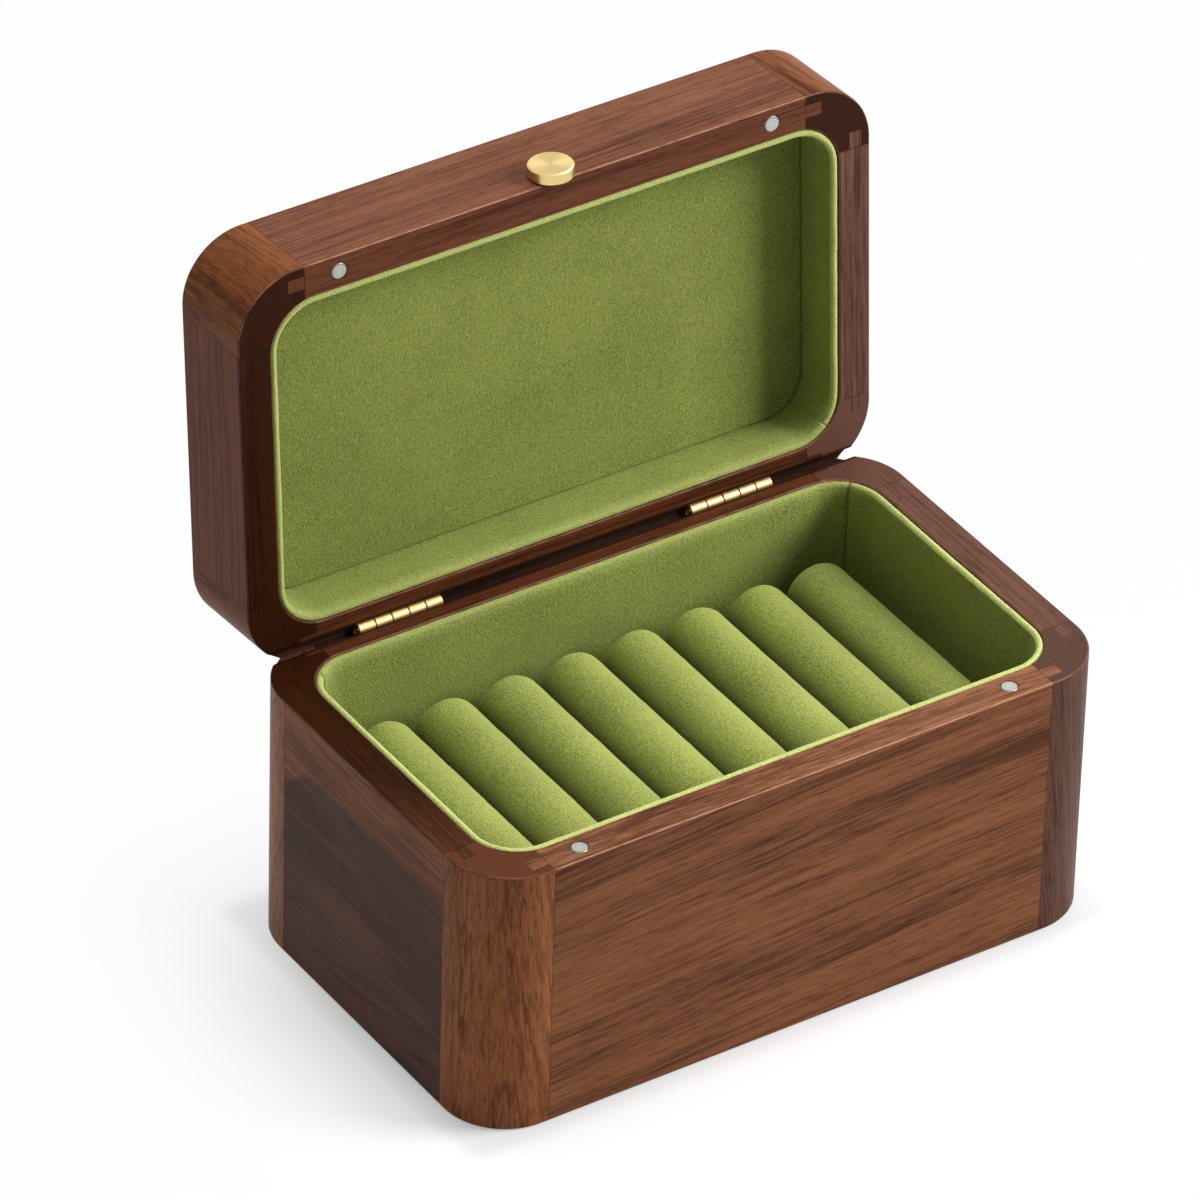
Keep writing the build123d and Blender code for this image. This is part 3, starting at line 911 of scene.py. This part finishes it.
class BANGLEBOX_OT_wall_linings(bpy.types.Operator):
    """Padded velvet on the walls of the case and the lid, with a rounded lip and corner seams"""

    bl_idname = "bangle_box.wall_linings"
    bl_label = "Wall linings"

    def execute(self, context):
        band, strip = wall_plan()
        for half, seed in (("base", 1), ("lid", 4)):
            # The walls' pile is painted a little darker, as painted shade
            cloth = velvet(f"velvet_{half}_walls", seed, 0.06)
            for part, path in (("wall", band), ("back", strip)):
                piece = lining_piece(
                    f"{half}_{part}_velvet", path, half, part == "wall", half == "base", seed, cloth
                )
                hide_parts(f"{half}_{part}_lining")
                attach(piece, half)
        return {"FINISHED"}


def eased(height, radius, steps):
    """Insets and heights round an eased edge, from the upright side to the top."""
    turns = [pi / 2 * number / steps for number in range(steps + 1)]
    return [(radius * (1 - cos(turn)), height - radius + radius * sin(turn)) for turn in turns]


def ring_plan(half_x, half_y, radius):
    """Points round a rounded rectangle, anticlockwise from its right side."""
    arcs = []
    for x, y, start in ((1, 1, 0), (-1, 1, pi / 2), (-1, -1, pi), (1, -1, 3 * pi / 2)):
        centre = (x * (half_x - radius), y * (half_y - radius))
        arcs.append(corner_arc(centre, start, start + pi / 2, radius, 0.0015))
    outline = []
    for arc, following in zip(arcs, arcs[1:] + arcs[:1]):
        outline += [place for place, _ in arc + straight(arc[-1], following[0], 0.004)]
    return outline


def pad_piece(name, half_x, half_y, radius, levels, material, matrix, crown, seed):
    """A padded board: rings from its underside, round its edge and in to its middle.

    Each level has its inset from the board's outline and its height.
    """
    outline = ring_plan(half_x, half_y, radius)
    points = []
    for inset, height in levels:
        for place in outline:
            spot = Vector((place.x * (1 - inset / half_x), place.y * (1 - inset / half_y)))
            lift = 0.0
            if inset > 0.001 and height > 0:
                lift = crown * min(1.0, inset / 0.02)
                lift += 0.00012 * wander((spot.x, spot.y, 0), 0.012, seed)
            points.append((spot.x, spot.y, height + lift))
    width = len(outline)
    faces = ring_faces(len(levels), width)
    points.append((0, 0, levels[-1][1] + crown))
    start = (len(levels) - 1) * width
    faces += [(start + place, start + (place + 1) % width, len(points) - 1) for place in range(width)]
    faces.append(tuple(range(width))[::-1])
    return mesh_piece(name, points, faces, material, matrix=matrix)


class BANGLEBOX_OT_ceiling_pad(bpy.types.Operator):
    """The padded velvet board in the lid's ceiling"""

    bl_idname = "bangle_box.ceiling_pad"
    bl_label = "Ceiling pad"

    def execute(self, context):
        depth = pad_high.z - pad_low.z
        spare, round_over, hollow = 0.0002, 0.0013, 0.0002
        levels = [(0.0006, 0.0), (0.0, 0.0012)] + eased(depth, round_over, 6)
        for inset in (0.0025, 0.0045, 0.009, 0.014, 0.02, 0.028, 0.037, 0.046, 0.052):
            levels.append((inset, depth - hollow))
        facing_down = Matrix.Translation((0, 0, pad_high.z)) @ Matrix.Rotation(pi, 4, "X")
        # The ceiling pad's pile is painted darker, as painted shade
        piece = pad_piece(
            "lid_ceiling_velvet",
            pad_high.x + spare,
            pad_high.y + spare,
            pad_corner + spare,
            levels,
            velvet("velvet_ceiling", 3, 0.15),
            lid_opening @ facing_down,
            0.0002,
            9,
        )
        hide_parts("lid_ceiling_pad")
        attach(piece, "lid")
        return {"FINISHED"}


def roll_piece(name, low, high, material, seed):
    """A stuffed roll: cloth drawn round a core, rounded at its ends and flat where it is glued."""
    radius = (high.x - low.x) / 2
    middle = (low.x + high.x) / 2
    axis_height = high.z - radius
    length = high.y - low.y
    rounding, dome, past_end = 0.0042, 0.0006, 0.0004
    gathered = 0.012  # length over which the cloth is drawn together towards an end
    around, count = 56, 34
    stations = eased(radius, rounding, 8)
    inner = length - 2 * rounding
    for number in range(1, count):
        stations.append((rounding + inner * number / count, radius))
    stations += [(length - along, reach) for along, reach in stations[8::-1]]
    caps = [0.82, 0.6, 0.35]
    head = [(-dome * (1 - share * share), (radius - rounding) * share) for share in caps[::-1]]
    tail = [(length - along, reach) for along, reach in head[::-1]]
    rows = head + stations + tail
    points, edge, painted_shade = [], [], []
    for along, reach in rows:
        along = min(max(along, -past_end), length + past_end)
        y = low.y + along
        near_end = max(0.0, 1 - min(along, length - along) / gathered)
        for number in range(around):
            angle = tau * number / around - pi / 2
            spot = (cos(angle) * 0.012, y, sin(angle) * 0.012)
            ripple = 0.00014 * wander(spot, 0.009, seed) + 0.00007 * wander(spot, 0.004, seed + 3)
            ripple += 0.00022 * near_end * wander((angle * 3.1, 0, 0), 1.0, seed + 6)
            size = reach + ripple * min(1, reach / radius)
            z = max(axis_height + sin(angle) * size, low.z)
            points.append((middle + cos(angle) * size, y, z))
            # Painted shade: the lower flanks darken toward the tray, where the neighbouring rolls shade
            # them
            low_down = (axis_height + 0.75 * radius - z) / (0.5 * radius)
            painted_shade.append(min(0.9, max(0.0, low_down)))
            # Painted highlight on the tops and on the right sides, where the lamps catch them
            upward = max(0.0, cos(angle - radians(105))) ** 2
            rightward = max(0.0, cos(angle - radians(50))) ** 6
            edge.append(0.05 * upward + 0.06 * rightward)
    faces = [(a, d, c, b) for a, b, c, d in ring_faces(len(rows), around)]
    for row, turn in ((0, 1), (len(rows) - 1, -1)):
        ring = points[row * around : (row + 1) * around]
        centre = sum((Vector(point) for point in ring), Vector()) / around
        points.append(tuple(centre))
        edge.append(0.0)
        painted_shade.append(0.0)
        hub = len(points) - 1
        for place in range(around):
            a = row * around + place
            b = row * around + (place + 1) % around
            faces.append((hub, a, b) if turn > 0 else (hub, b, a))
    return mesh_piece(name, points, faces, material, edge, painted_shade)


class BANGLEBOX_OT_rolls(bpy.types.Operator):
    """The stuffed velvet rolls that hold the bangles"""

    bl_idname = "bangle_box.rolls"
    bl_label = "Rolls"

    def execute(self, context):
        names = sorted(name for name in nodes if name.startswith("bangle_roll_"))
        if not names:
            raise RuntimeError("the frame has no rolls")
        # The rolls' pile is painted lighter, as painted light
        cloth = velvet("velvet_rolls", 4, -0.12)
        for number, name in enumerate(names):
            low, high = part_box(name)
            piece = roll_piece(f"{name}_velvet", low, high, cloth, 20 + 5 * number)
            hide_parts(name)
            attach(piece, "base")
        return {"FINISHED"}


class BANGLEBOX_OT_tray(bpy.types.Operator):
    """The velvet-covered board that the rolls are glued to"""

    bl_idname = "bangle_box.tray"
    bl_label = "Roll tray"

    def execute(self, context):
        depth = tray_high.z - tray_low.z
        levels = [(0.0005, 0.0), (0.0, 0.0006)] + eased(depth, 0.001, 4)
        for inset in (0.003, 0.006, 0.012, 0.02, 0.03, 0.042, 0.052):
            levels.append((inset, depth))
        piece = pad_piece(
            "roll_tray_velvet",
            tray_high.x,
            tray_high.y,
            pad_corner,
            levels,
            velvet("velvet_tray", 5),
            Matrix.Translation((0, 0, tray_low.z)),
            0.0,
            12,
        )
        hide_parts("roll_tray_board")
        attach(piece, "base")
        return {"FINISHED"}


# Stage
def shown_share(tree):
    """1 for rays that show the background: straight, mirrored or through glass."""
    path = add(tree, "ShaderNodeLightPath").outputs
    seen = calc("MAXIMUM", path["Is Camera Ray"], path["Is Glossy Ray"])
    return calc("MAXIMUM", seen, path["Is Transmission Ray"])


def lamp(name, place, aim, size, power):
    """A square soft lamp that points at a place."""
    data = bpy.data.lights.new(name, "AREA")
    data.shape = "SQUARE"
    data.size = size
    data.energy = power
    made = linked(name, data)
    made.location = place
    made.rotation_euler = (Vector(aim) - Vector(place)).to_track_quat("-Z", "Y").to_euler()


def paper_floor(stage):
    """A floor pale to the light it sends back, and nearly white where it is seen.

    The box's shadow is clearest close to it and weaker towards the back, and a painted contact shadow
    rings its footprint.
    """
    material = bpy.data.materials.new("floor_paper")
    tree = empty_tree(material)
    paper = add(tree, "ShaderNodeBsdfDiffuse", {"Color": (*stage.floor, 1)})
    place = object_place(tree)
    away = vector_calc("ABSOLUTE", place)
    away = vector_calc("SUBTRACT", away, (half_width, half_depth, 0))
    away = vector_calc("LENGTH", vector_calc("MAXIMUM", away, (0, 0, 0)))
    fade_start, fade_end, share_left = -0.02, 0.072, 0.03
    depth = spread(away, fade_start, fade_end, stage.shadow, share_left * stage.shadow)
    back_line, back_share = half_depth + 0.018, 0.36
    depth = times(depth, spread(case_axis(place, "Y"), 0.0, back_line, 1.0, back_share))
    # Painted contact shadow: the floor darkens within a centimetre of the box's footprint, lit or not
    contact_width, contact_tone = 0.01, 0.86
    painted_contact_shadow = spread(away, 0.0, contact_width, contact_tone, 1.0)
    shaded = add(tree, "ShaderNodeBsdfDiffuse", {"Color": times(depth, painted_contact_shadow)})
    paper_white = 0.99
    glow = add(tree, "ShaderNodeEmission", {"Strength": times(minus(paper_white, depth), painted_contact_shadow)})
    seen = add(tree, "ShaderNodeAddShader")
    both = add(tree, "ShaderNodeMixShader", {0: shown_share(tree)})
    output = tree.nodes.new("ShaderNodeOutputMaterial")
    tree.links.new(shaded.outputs[0], seen.inputs[0])
    tree.links.new(glow.outputs[0], seen.inputs[1])
    tree.links.new(paper.outputs[0], both.inputs[1])
    tree.links.new(seen.outputs[0], both.inputs[2])
    tree.links.new(both.outputs[0], output.inputs["Surface"])
    reach = 6.0
    data = bpy.data.meshes.new("floor")
    corners = [(-reach, -reach, 0), (reach, -reach, 0), (reach, reach, 0), (-reach, reach, 0)]
    data.from_pydata(corners, [], [(0, 1, 2, 3)])
    data.materials.append(material)
    floor = linked("floor", data)


def even_light(stage):
    """Even light all round, white where it is seen."""
    world = bpy.data.worlds.new("studio")
    tree = empty_tree(world)
    background = tree.nodes.new("ShaderNodeBackground")
    output = tree.nodes.new("ShaderNodeOutputWorld")
    tree.links.new(background.outputs[0], output.inputs[0])
    strength = times(shown_share(tree), 1 - stage.sky)
    tree.links.new(plus(strength, stage.sky), background.inputs["Strength"])
    bpy.context.scene.world = world


def place_camera(stage):
    """The camera, where the photograph was taken from."""
    a, e, r = stage.azimuth, stage.elevation, stage.roll
    back = Vector((sin(a) * cos(e), -cos(a) * cos(e), sin(e)))
    right = Vector((cos(a), sin(a), 0))
    up = back.cross(right)
    aim_right, aim_up, aim_height = -0.026575, 0.041384, 0.072  # to the centre of the picture
    middle = right * aim_right + up * aim_up + Vector((0, 0, aim_height))
    camera_right = right * cos(r) + up * sin(r)
    camera_up = up * cos(r) - right * sin(r)
    turn = Matrix((camera_right, camera_up, back)).transposed()
    data = bpy.data.cameras.new("camera")
    data.lens = stage.lens
    data.sensor_width = 36
    data.clip_start = 0.1
    data.clip_end = 50
    camera = linked("camera", data)
    camera.matrix_world = Matrix.Translation(middle + back * stage.distance) @ turn.to_4x4()
    bpy.context.scene.camera = camera


class BANGLEBOX_OT_stage(bpy.types.Operator):
    """Pale floor, soft lamps and the camera"""

    bl_idname = "bangle_box.stage"
    bl_label = "Stage"

    def execute(self, context):
        stage = context.scene.bangle_box_stage
        paper_floor(stage)
        even_light(stage)
        aim = (0, 0, 0.1)  # the middle of the box
        lamp("key_lamp", (1.38, -0.85, 1.06), aim, 0.85, stage.key)
        lamp("top_lamp", (0.1, 0.35, 1.7), aim, 1.1, stage.top)
        place_camera(stage)
        context.scene.view_settings.view_transform = "Standard"
        return {"FINISHED"}


operators = (
    BANGLEBOX_OT_front_boards,
    BANGLEBOX_OT_side_boards,
    BANGLEBOX_OT_corner_posts,
    BANGLEBOX_OT_panels,
    BANGLEBOX_OT_hinges,
    BANGLEBOX_OT_magnets,
    BANGLEBOX_OT_knob,
    BANGLEBOX_OT_wall_linings,
    BANGLEBOX_OT_ceiling_pad,
    BANGLEBOX_OT_tray,
    BANGLEBOX_OT_rolls,
    BANGLEBOX_OT_stage,
)

groups = {
    "bangle_box_wood": BangleBoxWood,
    "bangle_box_velvet": BangleBoxVelvet,
    "bangle_box_metal": BangleBoxMetal,
    "bangle_box_stage": BangleBoxStage,
}


class BANGLEBOX_PT_pieces(bpy.types.Panel):
    """Lists the settings and the pieces of the bangle box"""

    bl_idname = "BANGLEBOX_PT_pieces"
    bl_label = "Bangle Box"
    bl_space_type = "VIEW_3D"
    bl_region_type = "UI"
    bl_category = "Bangle Box"

    def draw(self, context):
        for name, group in groups.items():
            box = self.layout.box()
            box.label(text=group.__doc__.rstrip("."))
            settings = getattr(context.scene, name)
            for key in group.__annotations__:
                box.prop(settings, key)
        for operator in operators:
            self.layout.operator(operator.bl_idname)


def register():
    for name, group in groups.items():
        bpy.utils.register_class(group)
        setattr(bpy.types.Scene, name, PointerProperty(type=group))
    for operator in operators:
        bpy.utils.register_class(operator)
    bpy.utils.register_class(BANGLEBOX_PT_pieces)


def unregister():
    bpy.utils.unregister_class(BANGLEBOX_PT_pieces)
    for operator in reversed(operators):
        bpy.utils.unregister_class(operator)
    for name, group in groups.items():
        delattr(bpy.types.Scene, name)
        bpy.utils.unregister_class(group)


def main():
    register()
    bpy.ops.bangle_box.front_boards()
    bpy.ops.bangle_box.side_boards()
    bpy.ops.bangle_box.corner_posts()
    bpy.ops.bangle_box.panels()
    bpy.ops.bangle_box.hinges()
    bpy.ops.bangle_box.magnets()
    bpy.ops.bangle_box.knob()
    bpy.ops.bangle_box.wall_linings()
    bpy.ops.bangle_box.ceiling_pad()
    bpy.ops.bangle_box.tray()
    bpy.ops.bangle_box.rolls()
    bpy.ops.bangle_box.stage()


if __name__ == "__main__":
    main()
